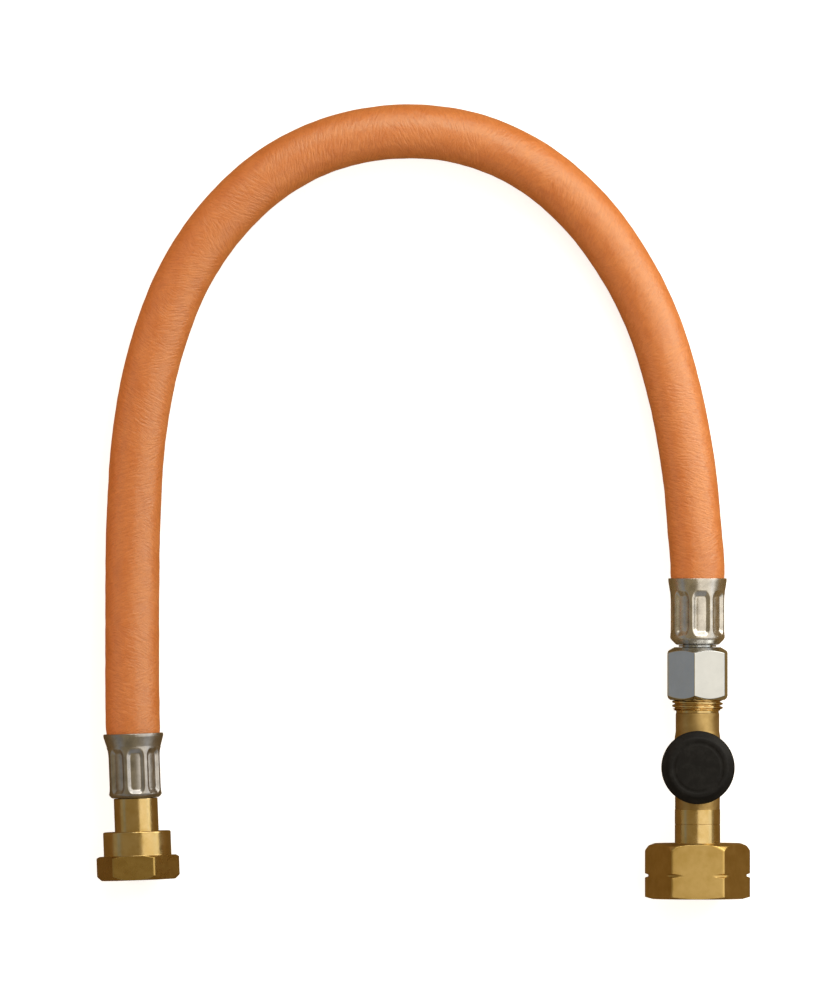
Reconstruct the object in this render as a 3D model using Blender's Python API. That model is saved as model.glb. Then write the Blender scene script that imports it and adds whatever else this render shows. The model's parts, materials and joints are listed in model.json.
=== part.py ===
"""Gas hose assembly: an orange hose between a regulator swivel nut and a cylinder valve fitting.

The assembly lies on the plane z = 0. Each metal fitting is described along its own axis: the
station along it starts at the mouth of the crimped ferrule and grows away from the hose. The
radius direction that points up is angle 0, and positive angles turn towards -X.
All lengths below are in millimetres; meshes are written in metres.
"""

import math

import bmesh
import bpy
from mathutils import Matrix, Vector

MM = 0.001

# Where the two fittings lie
VALVE_AXIS_X = 89.96
VALVE_MOUTH_Y = 52.55
VALVE_AXIS_HEIGHT = 15.0
REGULATOR_MOUTH = (-95.02, 1.65)
REGULATOR_AXIS_HEIGHT = 12.73
REGULATOR_TILT = math.radians(2.1)

# Running and touching clearances
GAP = 0.3
THREAD_GAP = 0.35

# Hose
HOSE_DIAMETER = 17.8
HOSE_ROUTE = [
    (89.96, 53.0, 15.0),
    (89.88, 58.5, 15.0),
    (89.03, 68.0, 14.6),
    (87.13, 88.0, 13.0),
    (82.68, 112.5, 10.8),
    (75.78, 135.5, 9.4),
    (65.98, 155.3, 9.0),
    (52.68, 173.2, 9.0),
    (35.68, 187.6, 9.0),
    (15.68, 196.5, 9.0),
    (-6.32, 199.1, 9.0),
    (-28.32, 195.6, 9.0),
    (-48.52, 185.9, 9.0),
    (-65.82, 170.1, 9.0),
    (-79.12, 149.9, 9.0),
    (-88.12, 125.4, 9.0),
    (-93.02, 100.0, 9.0),
    (-94.87, 74.0, 9.1),
    (-95.32, 50.0, 9.8),
    (-95.37, 26.0, 11.5),
    (-95.24, 7.6, 12.7),
    (-95.04, 2.1, 12.73),
]
HOSE_POINT_SPACING = 1.0 * HOSE_DIAMETER
HOSE_TAIL_INNER = 3.7
HOSE_TAIL_OUTER = 6.9

# Crimped ferrules
FERRULE_LENGTH = {"left": 21.1, "right": 21.8}
FERRULE_RIM_RADIUS = {"left": 9.85, "right": 9.6}
FERRULE_BODY_RADIUS = {"left": 8.75, "right": 8.95}
FERRULE_BORE = 7.2
FERRULE_MOUTH_BORE = 8.5
FERRULE_END_WALL = 1.3
FERRULE_END_HOLE = 5.2
JAW_COUNT = 8
JAW_DEPTH = 0.75
JAW_HALF_WIDTH = 1.9
JAW_START = {"left": 5.6, "right": 4.2}
JAW_END = {"left": 19.0, "right": 18.4}
JAW_PHASE = {"left": math.radians(2.0), "right": math.radians(-8.0)}

# Hose stems
STEM_BORE = 1.8
BARB_ROOT = 3.0
BARB_CREST = 3.4
BARB_PITCH = 3.0
STEM_WAIST = 4.85

# Regulator end
REGULATOR_NECK_RADIUS = 7.2
REGULATOR_NUT_START = 32.1
REGULATOR_COLLAR_END = 40.1
REGULATOR_NUT_END = 48.0
REGULATOR_COLLAR_RADIUS = 11.1
REGULATOR_NUT_FLATS = 24.0
REGULATOR_NUT_TURN = math.radians(6.7)
REGULATOR_THREAD = {"pitch": 1.5, "crest": 9.2, "root": 10.05}

# Union nut
UNION_START = 23.0
UNION_END = 39.9
UNION_FLATS = 19.0
UNION_TURN = math.radians(5.5 + 30.0)
UNION_THREAD_PITCH = 1.337
UNION_THREAD_CREST = 8.3
UNION_THREAD_ROOT = 7.45

# Valve body
BODY_START = 33.2
BODY_THREAD_END = 43.9
BODY_TUBE_RADIUS = 7.35
BODY_BAND_START = 75.8
BODY_BAND_RADIUS = 7.45
BODY_END = 80.6
BODY_BORE = 5.0
BUTTON_STATION = 61.9
BOSS_RADIUS = 9.6
BOSS_TOP = 11.0
SADDLE_RADIUS = 12.6
SADDLE_CROWN = 7.65

# Cylinder end
SPIGOT_RADIUS = 7.45
CYLINDER_NUT_START = 86.8
CYLINDER_NUT_END = 105.1
CYLINDER_NUT_FLATS = 30.0
CYLINDER_THREAD = {"pitch": 1.814, "crest": 9.75, "root": 10.9}
NUT_BACK_WALL = 4.0
NOTCH_STATION = 97.4
NOTCH_FLOOR_RADIUS = 16.15
NOTCH_FLOOR_WIDTH = 0.7
NOTCH_MOUTH_WIDTH = 1.5

# Push button; heights are above the valve body's axis
BUTTON_TRAVEL = 3.0
CAP_RADIUS = 12.0
CAP_BOTTOM = 11.0
CAP_TOP = 19.2
CAP_ROOF = 17.0
CAP_INNER_RADIUS = 10.2
PIN_RADIUS = 1.8
PIN_TIP = 1.0
PIN_TOP = 17.3

# Poppet
POPPET_TRAVEL = 2.0

# Number of sides on turned pieces
SIDES_ENVELOPE = 30
SIDES_LARGE = 20
SIDES_SMALL = 16
SIDES_TINY = 12

SMOOTH_ANGLE = math.radians(35)


# ---------------------------------------------------------------- scene and materials


def clear_scene():
    for scene_object in list(bpy.data.objects):
        bpy.data.objects.remove(scene_object, do_unlink=True)


def make_material(name, colour, roughness, metallic):
    material = bpy.data.materials.new(name)
    material.use_nodes = True
    shader = material.node_tree.nodes["Principled BSDF"]
    shader.inputs["Base Color"].default_value = (*colour, 1.0)
    shader.inputs["Roughness"].default_value = roughness
    shader.inputs["Metallic"].default_value = metallic
    return material


def fitting_axis(name, mouth, height, tilt):
    """Empty whose local Z runs along a fitting away from the hose and whose local X is up."""
    along = Vector((math.sin(tilt), -math.cos(tilt), 0.0))
    up = Vector((0.0, 0.0, 1.0))
    side = along.cross(up)
    empty = bpy.data.objects.new(name, None)
    bpy.context.collection.objects.link(empty)
    turn = Matrix((up, side, along)).transposed()
    place = Vector((mouth[0], mouth[1], height)) * MM
    empty.matrix_world = Matrix.Translation(place) @ turn.to_4x4()
    return empty


def button_axis(name):
    """Empty on the push button's axis, at the height of the valve body's axis."""
    empty = bpy.data.objects.new(name, None)
    bpy.context.collection.objects.link(empty)
    place = Vector((VALVE_AXIS_X, VALVE_MOUTH_Y - BUTTON_STATION, VALVE_AXIS_HEIGHT)) * MM
    empty.matrix_world = Matrix.Translation(place)
    return empty


# ---------------------------------------------------------------- mesh tools


def add_object(name, mesh, parent, material):
    piece = bpy.data.objects.new(name, mesh)
    bpy.context.collection.objects.link(piece)
    piece.parent = parent
    if material is not None:
        mesh.materials.append(material)
    return piece


def add_mesh_object(name, shape, parent, material):
    bmesh.ops.recalc_face_normals(shape, faces=shape.faces)
    mesh = bpy.data.meshes.new(name)
    shape.to_mesh(mesh)
    shape.free()
    mesh.shade_smooth()
    mesh.set_sharp_from_angle(angle=SMOOTH_ANGLE)
    return add_object(name, mesh, parent, material)


def circle(shape, station, radius, sides):
    around = []
    for side in range(sides):
        angle = 2.0 * math.pi * side / sides
        point = (radius * math.cos(angle), radius * math.sin(angle), station)
        around.append(shape.verts.new(Vector(point) * MM))
    return around


def turned(name, outline, parent, material, sides=SIDES_LARGE):
    """Solid of revolution about local Z. outline is a closed list of (station, radius)."""
    shape = bmesh.new()
    rings = []
    for station, radius in outline:
        if radius == 0.0:
            rings.append([shape.verts.new((0.0, 0.0, station * MM))])
            continue
        rings.append(circle(shape, station, radius, sides))
    for first, second in zip(rings, rings[1:] + rings[:1]):
        bridge(shape, first, second, sides)
    return add_mesh_object(name, shape, parent, material)


def bridge(shape, first, second, sides):
    """Faces between two rings; a ring of one vertex is a point on the axis."""
    if len(first) == 1 and len(second) == 1:
        return
    for side in range(sides):
        after = (side + 1) % sides
        if len(first) == 1:
            shape.faces.new((first[0], second[after], second[side]))
        elif len(second) == 1:
            shape.faces.new((first[side], first[after], second[0]))
        else:
            shape.faces.new((first[side], first[after], second[after], second[side]))


def ring(name, start, end, inner, outer, parent, material, sides=SIDES_SMALL, edge=0.25):
    """Flat ring about local Z; its outer edges are chamfered."""
    outline = [
        (start, inner),
        (start, outer - edge),
        (start + edge, outer),
        (end - edge, outer),
        (end, outer - edge),
        (end, inner),
    ]
    return turned(name, outline, parent, material, sides)


def combine(target, other, operation):
    """Boolean of target with a hidden helper object."""
    other.hide_render = True
    other.display_type = "WIRE"
    modifier = target.modifiers.new(other.name, "BOOLEAN")
    modifier.operation = operation
    modifier.solver = "EXACT"
    modifier.object = other


def hexagon(name, start, end, flats, turn, parent, material=None):
    """Hexagonal bar about local Z; turn is the angle of one flat's normal."""
    corner = flats / 2.0 / math.cos(math.pi / 6.0)
    shape = bmesh.new()
    ends = []
    for station in (start, end):
        corners = []
        for index in range(6):
            angle = turn + math.pi / 6.0 + index * math.pi / 3.0
            point = (corner * math.cos(angle), corner * math.sin(angle), station)
            corners.append(shape.verts.new(Vector(point) * MM))
        ends.append(corners)
    bridge(shape, ends[0], ends[1], 6)
    shape.faces.new(ends[0])
    shape.faces.new(ends[1])
    return add_mesh_object(name, shape, parent, material)


def thread_outline(start, end, pitch, root, crest):
    """Points of a ring thread between two stations; each tooth has a sharp root and a flat crest."""
    count = int((end - start) / pitch)
    points = [(start, root)]
    for tooth in range(count):
        base = start + tooth * pitch
        points.append((base + 0.4 * pitch, crest))
        points.append((base + 0.6 * pitch, crest))
        points.append((base + pitch, root))
    return points


def smooth_route(points, spacing):
    """Points about spacing apart on a Catmull-Rom curve through the route."""
    route = [Vector(point) for point in points]
    padded = [2.0 * route[0] - route[1]] + route + [2.0 * route[-1] - route[-2]]
    dense = []
    for before, start, end, after in zip(padded, padded[1:], padded[2:], padded[3:]):
        for step in range(20):
            t = step / 20.0
            dense.append(
                0.5 * (2.0 * start + (end - before) * t
                       + (2.0 * before - 5.0 * start + 4.0 * end - after) * t ** 2
                       + (3.0 * start - 3.0 * end + after - before) * t ** 3)
            )
    dense.append(route[-1])
    travelled = [0.0]
    for first, second in zip(dense, dense[1:]):
        travelled.append(travelled[-1] + (second - first).length)
    count = round(travelled[-1] / spacing)
    sampled = []
    index = 0
    for step in range(count + 1):
        goal = travelled[-1] * step / count
        while index < len(dense) - 2 and travelled[index + 1] < goal:
            index += 1
        share = (goal - travelled[index]) / (travelled[index + 1] - travelled[index])
        sampled.append(dense[index].lerp(dense[index + 1], share))
    return sampled


def tube(name, points, radius, parent, material, resolution):
    """Round bar along points, with closed ends."""
    curve = bpy.data.curves.new(name, "CURVE")
    curve.dimensions = "3D"
    curve.bevel_depth = radius * MM
    curve.bevel_resolution = resolution
    curve.use_fill_caps = True
    spline = curve.splines.new("POLY")
    spline.points.add(len(points) - 1)
    for spline_point, point in zip(spline.points, points):
        spline_point.co = (*(Vector(point) * MM), 1.0)
    return add_object(name, curve, parent, material)


def coil_spring(name, start, end, coil_radius, wire_radius, turns, parent, material):
    """Helical spring about local Z between two stations."""
    steps = int(turns * 12)
    low = start + wire_radius
    high = end - wire_radius
    points = []
    for step in range(steps + 1):
        share = step / steps
        angle = 2.0 * math.pi * turns * share
        station = low + (high - low) * share
        points.append((coil_radius * math.cos(angle), coil_radius * math.sin(angle), station))
    return tube(name, points, wire_radius, parent, material, 1)


# ---------------------------------------------------------------- hose and ferrules


def make_hose(material):
    """Tube along the route; its first and last runs leave the ferrules straight."""
    middle = smooth_route(HOSE_ROUTE[1:-1], HOSE_POINT_SPACING)
    points = [HOSE_ROUTE[0]] + middle + [HOSE_ROUTE[-1]]
    return tube("hose", points, HOSE_DIAMETER / 2.0, None, material, 3)


def make_hose_tail(side, parent, material):
    """Hose end squeezed between the stem's barbs and the ferrule."""
    end = FERRULE_LENGTH[side] - FERRULE_END_WALL - GAP
    outline = [
        (GAP, HOSE_TAIL_INNER),
        (GAP, FERRULE_MOUTH_BORE - GAP),
        (3.0, HOSE_TAIL_OUTER),
        (end, HOSE_TAIL_OUTER),
        (end, HOSE_TAIL_INNER),
    ]
    return turned("hose_tail_" + side, outline, parent, material, SIDES_SMALL)


def jaw_press(side, station, angle):
    """How far the crimping jaws push the ferrule in at one point, from 0 to 1."""
    start = JAW_START[side] + JAW_HALF_WIDTH
    end = JAW_END[side] - JAW_HALF_WIDTH
    pitch = 2.0 * math.pi / JAW_COUNT
    offset = (angle - JAW_PHASE[side] + pitch / 2.0) % pitch - pitch / 2.0
    across = offset * FERRULE_BODY_RADIUS[side]
    along = station - min(max(station, start), end)
    distance = math.hypot(across, along)
    share = min(max((JAW_HALF_WIDTH + 0.6 - distance) / 1.2, 0.0), 1.0)
    return share * share * (3.0 - 2.0 * share)


def ferrule_radius(side, station):
    """Outer radius of the ferrule before crimping: flared rim, body and rounded end."""
    rim = FERRULE_RIM_RADIUS[side]
    body = FERRULE_BODY_RADIUS[side]
    flare_start = 1.2
    flare_end = JAW_START[side]
    if station < flare_start:
        return rim
    if station < flare_end:
        return rim + (body - rim) * (station - flare_start) / (flare_end - flare_start)
    corner = 1.5
    beyond = max(station - (FERRULE_LENGTH[side] - corner), 0.0)
    return body - corner + math.sqrt(max(corner ** 2 - beyond ** 2, 0.0)) * 0.9 + corner * 0.1


def make_ferrule(side, parent, material):
    length = FERRULE_LENGTH[side]
    start = JAW_START[side]
    end = JAW_END[side]
    press_rings = [start + (end - start) * share for share in (0.0, 0.14, 0.86, 1.0)]
    outside = [0.0, 1.2] + press_rings + [length - 0.6, length]
    inside = [
        (length, FERRULE_END_HOLE),
        (length - FERRULE_END_WALL, FERRULE_END_HOLE),
        (length - FERRULE_END_WALL, FERRULE_BORE),
        (3.0, FERRULE_BORE),
        (0.0, FERRULE_MOUTH_BORE),
    ]
    columns = 5 * JAW_COUNT
    shape = bmesh.new()
    rings = []
    for station in outside:
        around = []
        for column in range(columns):
            angle = 2.0 * math.pi * column / columns
            pressed = JAW_DEPTH * jaw_press(side, station, angle)
            radius = ferrule_radius(side, station) - pressed
            point = (radius * math.cos(angle), radius * math.sin(angle), station)
            around.append(shape.verts.new(Vector(point) * MM))
        rings.append(around)
    for station, radius in inside:
        rings.append(circle(shape, station, radius, columns))
    for first, second in zip(rings, rings[1:] + rings[:1]):
        bridge(shape, first, second, columns)
    return add_mesh_object("ferrule_" + side, shape, parent, material)


def barb_outline(side):
    """Saw-tooth outside of a stem's tail, from its tip to the ferrule's end wall."""
    shoulder = FERRULE_LENGTH[side] - FERRULE_END_WALL
    points = [(1.5, BARB_ROOT)]
    station = 1.5
    while station + BARB_PITCH < shoulder - 0.5:
        points.append((station + 0.85 * BARB_PITCH, BARB_CREST))
        points.append((station + BARB_PITCH, BARB_ROOT))
        station += BARB_PITCH
    points.append((shoulder, BARB_ROOT))
    points.append((shoulder, STEM_WAIST))
    return points


# ---------------------------------------------------------------- regulator end


def make_stem_left(parent, material):
    neck_start = FERRULE_LENGTH["left"] + GAP
    head_start = REGULATOR_NUT_START + NUT_BACK_WALL + GAP
    head_radius = REGULATOR_THREAD["crest"] - 0.4
    outline = [(1.5, STEM_BORE)] + barb_outline("left") + [
        (neck_start, STEM_WAIST),
        (neck_start, REGULATOR_NECK_RADIUS - 0.5),
        (neck_start + 0.5, REGULATOR_NECK_RADIUS),
        (head_start, REGULATOR_NECK_RADIUS),
        (head_start, head_radius - 0.4),
        (head_start + 0.4, head_radius),
        (head_start + 4.0, head_radius),
        (head_start + 4.0, STEM_BORE + 1.2),
        (head_start + 2.5, STEM_BORE),
    ]
    return turned("stem_left", outline, parent, material, SIDES_SMALL)


def make_regulator_seal(parent, material):
    start = REGULATOR_NUT_START + NUT_BACK_WALL + GAP + 4.0 + GAP
    return ring("regulator_seal", start, start + 1.8, 4.3, 8.6, parent, material)


def make_regulator_nut(parent, material):
    start = REGULATOR_NUT_START
    end = REGULATOR_NUT_END
    nut = hexagon("regulator_nut", start, end, REGULATOR_NUT_FLATS, REGULATOR_NUT_TURN,
                  parent, material)
    flat_radius = REGULATOR_NUT_FLATS / 2.0
    corner_radius = flat_radius / math.cos(math.pi / 6.0)
    envelope = [
        (start, 0.0),
        (start, REGULATOR_COLLAR_RADIUS - 0.5),
        (start + 0.5, REGULATOR_COLLAR_RADIUS),
        (REGULATOR_COLLAR_END, REGULATOR_COLLAR_RADIUS),
        (REGULATOR_COLLAR_END, flat_radius + 0.6),
        (REGULATOR_COLLAR_END + 0.9, corner_radius + 0.2),
        (end - 2.2, corner_radius + 0.2),
        (end, flat_radius - 0.5),
        (end, 0.0),
    ]
    combine(nut, turned("cut_regulator_outside", envelope, parent, None, SIDES_ENVELOPE), "INTERSECT")
    thread = REGULATOR_THREAD
    bore = [
        (start - 1.0, 0.0),
        (start - 1.0, REGULATOR_NECK_RADIUS + GAP),
        (start + NUT_BACK_WALL, REGULATOR_NECK_RADIUS + GAP),
        (start + NUT_BACK_WALL, thread["root"] - 0.4),
        (start + NUT_BACK_WALL + 5.0, thread["root"] - 0.4),
    ]
    bore += thread_outline(start + NUT_BACK_WALL + 5.2, end - 0.4, thread["pitch"],
                           thread["crest"], thread["root"])
    bore += [(end - 0.2, thread["crest"]), (end + 0.6, thread["root"] + 0.3), (end + 0.6, 0.0)]
    combine(nut, turned("cut_regulator_bore", bore, parent, None), "DIFFERENCE")
    return nut


# ---------------------------------------------------------------- union nut end


def make_stem_right(parent, material):
    head_start = UNION_START + NUT_BACK_WALL + GAP
    head_end = head_start + 3.7
    outline = [(1.5, STEM_BORE)] + barb_outline("right") + [
        (head_start, STEM_WAIST),
        (head_start, 6.6),
        (head_start + 0.4, 7.0),
        (head_end, 7.0),
        (head_end, STEM_BORE + 1.0),
        (head_end - 1.5, STEM_BORE),
    ]
    return turned("stem_right", outline, parent, material, SIDES_SMALL)


def make_union_seal(parent, material):
    start = UNION_START + NUT_BACK_WALL + GAP + 3.7 + GAP
    return ring("union_seal", start, BODY_START - GAP, 3.4, 6.8, parent, material)


def make_union_nut(parent, material):
    nut = hexagon("union_nut", UNION_START, UNION_END, UNION_FLATS, UNION_TURN, parent, material)
    flat_radius = UNION_FLATS / 2.0
    corner_radius = flat_radius / math.cos(math.pi / 6.0)
    envelope = [
        (UNION_START, 0.0),
        (UNION_START, flat_radius - 0.3),
        (UNION_START + 1.0, corner_radius + 0.1),
        (UNION_END - 0.9, corner_radius + 0.1),
        (UNION_END, flat_radius - 0.1),
        (UNION_END, 0.0),
    ]
    combine(nut, turned("cut_union_outside", envelope, parent, None, SIDES_ENVELOPE), "INTERSECT")
    bore = [
        (UNION_START - 1.0, 0.0),
        (UNION_START - 1.0, STEM_WAIST + GAP),
        (UNION_START + NUT_BACK_WALL, STEM_WAIST + GAP),
        (UNION_START + NUT_BACK_WALL, UNION_THREAD_CREST + THREAD_GAP - 0.3),
        (BODY_START + 0.3, UNION_THREAD_CREST + THREAD_GAP - 0.3),
    ]
    bore += thread_outline(BODY_START + 0.6, UNION_END + UNION_THREAD_PITCH, UNION_THREAD_PITCH,
                           UNION_THREAD_ROOT + THREAD_GAP, UNION_THREAD_CREST + THREAD_GAP)
    bore.append((bore[-1][0], 0.0))
    combine(nut, turned("cut_union_bore", bore, parent, None), "DIFFERENCE")
    return nut


# ---------------------------------------------------------------- valve body


def make_valve_body(axis, boss_axis, material):
    outline = [(BODY_START, 0.0), (BODY_START, UNION_THREAD_ROOT)]
    outline += thread_outline(BODY_START + 0.6, BODY_THREAD_END, UNION_THREAD_PITCH,
                              UNION_THREAD_ROOT, UNION_THREAD_CREST)
    outline += [
        (BODY_THREAD_END + 0.3, BODY_TUBE_RADIUS),
        (BODY_BAND_START, BODY_TUBE_RADIUS),
        (BODY_BAND_START + 0.1, BODY_BAND_RADIUS),
        (BODY_END - 0.2, BODY_BAND_RADIUS),
        (BODY_END, BODY_BAND_RADIUS - 0.2),
        (BODY_END, 0.0),
    ]
    body = turned("valve_body", outline, axis, material)

    boss = [
        (-4.0, 0.0),
        (-4.0, 5.8),
        (-1.0, BOSS_RADIUS),
        (BOSS_TOP - 0.6, BOSS_RADIUS),
        (BOSS_TOP, BOSS_RADIUS - 0.6),
        (BOSS_TOP, 0.0),
    ]
    combine(body, turned("add_boss", boss, boss_axis, None), "UNION")
    saddle = turned("add_saddle", [
        (BUTTON_STATION - SADDLE_RADIUS - 1.0, 0.0),
        (BUTTON_STATION - SADDLE_RADIUS - 1.0, SADDLE_CROWN),
        (BUTTON_STATION + SADDLE_RADIUS + 1.0, SADDLE_CROWN),
        (BUTTON_STATION + SADDLE_RADIUS + 1.0, 0.0),
    ], axis, None)
    saddle_edge = [
        (-9.0, 0.0),
        (-9.0, SADDLE_RADIUS),
        (9.0, SADDLE_RADIUS),
        (9.0, 0.0),
    ]
    combine(saddle, turned("cut_saddle", saddle_edge, boss_axis, None), "INTERSECT")
    combine(body, saddle, "UNION")

    bore = [
        (BODY_START - 1.0, 0.0),
        (BODY_START - 1.0, 3.5),
        (44.6, 3.5),
        (44.6, BODY_BORE),
        (71.0, BODY_BORE),
        (71.0, 6.2),
        (BODY_END + 1.0, 6.2),
        (BODY_END + 1.0, 0.0),
    ]
    combine(body, turned("cut_body_bore", bore, axis, None, SIDES_SMALL), "DIFFERENCE")
    boss_bore = [
        (0.0, 0.0),
        (0.0, 3.0),
        (7.4, 3.0),
        (7.4, 6.2),
        (BOSS_TOP + 1.0, 6.2),
        (BOSS_TOP + 1.0, 0.0),
    ]
    combine(body, turned("cut_boss_bore", boss_bore, boss_axis, None, SIDES_SMALL), "DIFFERENCE")
    return body


def make_valve_seat(axis, material):
    return ring("valve_seat", 44.9, 48.9, 2.2, 4.7, axis, material)


def make_poppet(axis, material):
    outline = [
        (50.3, 0.0),
        (50.3, 0.9),
        (51.2, 1.65),
        (52.4, 1.65),
        (53.2, 2.6),
        (53.2, 3.9),
        (54.6, 3.9),
        (54.6, 1.4),
        (59.3, 1.4),
        (59.6, 1.1),
        (59.6, 0.0),
    ]
    return turned("poppet", outline, axis, material, SIDES_SMALL)


def make_poppet_seal(axis, material):
    return ring("poppet_seal", 51.2, 52.2, 1.95, 2.95, axis, material, SIDES_TINY, 0.3)


def make_poppet_spring(axis, material):
    """Drawn at its shortest working length, so it clears the poppet when that is closed."""
    return coil_spring("poppet_spring", 49.2, 50.7, 3.5, 0.2, 2.25, axis, material)


def make_poppet_guide(axis, material):
    guide = ring("poppet_guide", 55.2, 57.0, 1.7, 4.7, axis, material)
    for index in range(3):
        angle = math.radians(67.5 + 120 * index)
        hole = turned("cut_flow_%d" % (index + 1), [
            (54.0, 0.0), (54.0, 0.9), (58.0, 0.9), (58.0, 0.0),
        ], axis, None, SIDES_TINY)
        hole.location = Vector((3.2 * math.cos(angle), 3.2 * math.sin(angle), 0.0)) * MM
        combine(guide, hole, "DIFFERENCE")
    return guide


# ---------------------------------------------------------------- cylinder end


def make_inlet_spigot(axis, material):
    back_wall_end = CYLINDER_NUT_START + NUT_BACK_WALL
    outline = [
        (71.4, 2.5),
        (71.4, 5.6),
        (71.7, 5.9),
        (73.5, 5.9),
        (73.5, 4.55),
        (75.5, 4.55),
        (75.5, 5.9),
        (BODY_END + GAP, 5.9),
        (BODY_END + GAP, SPIGOT_RADIUS - 0.2),
        (BODY_END + GAP + 0.2, SPIGOT_RADIUS),
        (back_wall_end + GAP, SPIGOT_RADIUS),
        (back_wall_end + GAP, 8.8),
        (back_wall_end + GAP + 0.4, 9.2),
        (95.6, 9.2),
        (95.6, 5.6),
        (98.0, 5.6),
        (98.0, 4.2),
        (93.0, 4.2),
        (93.0, 2.5),
    ]
    return turned("inlet_spigot", outline, axis, material)


def make_cylinder_nut(axis, material):
    start = CYLINDER_NUT_START
    end = CYLINDER_NUT_END
    nut = hexagon("cylinder_nut", start, end, CYLINDER_NUT_FLATS, 0.0, axis, material)
    flat_radius = CYLINDER_NUT_FLATS / 2.0
    corner_radius = flat_radius / math.cos(math.pi / 6.0)
    envelope = [
        (start, 0.0),
        (start, flat_radius - 0.9),
        (start + 1.9, corner_radius + 0.1),
        (end - 1.1, corner_radius + 0.1),
        (end, flat_radius - 0.1),
        (end, 0.0),
    ]
    combine(nut, turned("cut_cylinder_outside", envelope, axis, None, SIDES_ENVELOPE), "INTERSECT")
    thread = CYLINDER_THREAD
    bore = [
        (start - 1.0, 0.0),
        (start - 1.0, SPIGOT_RADIUS + GAP),
        (start + NUT_BACK_WALL, SPIGOT_RADIUS + GAP),
        (start + NUT_BACK_WALL, thread["root"] - 0.4),
        (start + NUT_BACK_WALL + 5.2, thread["root"] - 0.4),
    ]
    bore += thread_outline(start + NUT_BACK_WALL + 5.4, end - 0.4, thread["pitch"],
                           thread["crest"], thread["root"])
    bore += [(end - 0.6, thread["crest"]), (end + 0.6, thread["root"] + 0.5), (end + 0.6, 0.0)]
    combine(nut, turned("cut_cylinder_bore", bore, axis, None), "DIFFERENCE")
    notch = [
        (NOTCH_STATION - NOTCH_FLOOR_WIDTH / 2.0, NOTCH_FLOOR_RADIUS),
        (NOTCH_STATION - NOTCH_MOUTH_WIDTH / 2.0, corner_radius + 1.0),
        (NOTCH_STATION + NOTCH_MOUTH_WIDTH / 2.0, corner_radius + 1.0),
        (NOTCH_STATION + NOTCH_FLOOR_WIDTH / 2.0, NOTCH_FLOOR_RADIUS),
    ]
    combine(nut, turned("cut_notches", notch, axis, None, 2 * SIDES_ENVELOPE), "DIFFERENCE")
    return nut


def make_inlet_filter(axis, material):
    return ring("inlet_filter", 93.3, 95.3, 0.6, 3.9, axis, material, SIDES_SMALL, 0.2)


# ---------------------------------------------------------------- push button


def make_button_cap(axis, material):
    hub_bottom = 14.8
    hub_radius = 3.4
    hole_top = PIN_TOP + GAP
    outline = [
        (hole_top, 0.0),
        (hole_top, PIN_RADIUS + GAP),
        (hub_bottom, PIN_RADIUS + GAP),
        (hub_bottom, hub_radius),
        (CAP_ROOF, hub_radius),
        (CAP_ROOF, CAP_INNER_RADIUS),
        (CAP_BOTTOM, CAP_INNER_RADIUS),
        (CAP_BOTTOM, CAP_RADIUS - 0.3),
        (CAP_BOTTOM + 0.3, CAP_RADIUS),
        (CAP_TOP - 2.0, CAP_RADIUS),
        (CAP_TOP - 0.9, CAP_RADIUS - 0.4),
        (CAP_TOP - 0.2, CAP_RADIUS - 1.3),
        (CAP_TOP, CAP_RADIUS - 2.4),
        (CAP_TOP, 7.2),
        (CAP_TOP - 0.4, 6.6),
        (CAP_TOP - 0.4, 0.0),
    ]
    return turned("button_cap", outline, axis, material, SIDES_ENVELOPE)


def make_button_stem(axis, material):
    groove = 6.3
    outline = [
        (PIN_TIP, 0.0),
        (PIN_TIP + 1.2, PIN_RADIUS),
        (groove, PIN_RADIUS),
        (groove, PIN_RADIUS - 0.6),
        (groove + 1.2, PIN_RADIUS - 0.6),
        (groove + 1.2, PIN_RADIUS),
        (PIN_TOP - 0.3, PIN_RADIUS),
        (PIN_TOP, PIN_RADIUS - 0.3),
        (PIN_TOP, 0.0),
    ]
    return turned("button_stem", outline, axis, material, SIDES_TINY)


def make_button_circlip(axis, material):
    return ring("button_circlip", 6.6, 7.2, PIN_RADIUS - 0.3, 2.6, axis, material, SIDES_TINY, 0.1)


def make_button_gland(axis, material):
    outline = [
        (7.7, 3.6),
        (7.7, 5.6),
        (8.0, 5.9),
        (11.0, 5.9),
        (11.3, 5.6),
        (11.3, PIN_RADIUS + 0.4),
        (9.5, PIN_RADIUS + 0.4),
        (9.5, 3.6),
    ]
    return turned("button_gland", outline, axis, material, SIDES_SMALL)


def make_button_o_ring(axis, material):
    return ring("button_o_ring", 8.0, 9.2, PIN_RADIUS + 0.3, 3.3, axis, material, SIDES_TINY, 0.3)


def make_button_spring(axis, material):
    """Drawn at its shortest working length, so it clears the cap when that is pressed."""
    return coil_spring("button_spring", 11.6, 13.8, 4.3, 0.3, 2.25, axis, material)


# ---------------------------------------------------------------- assembly


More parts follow.
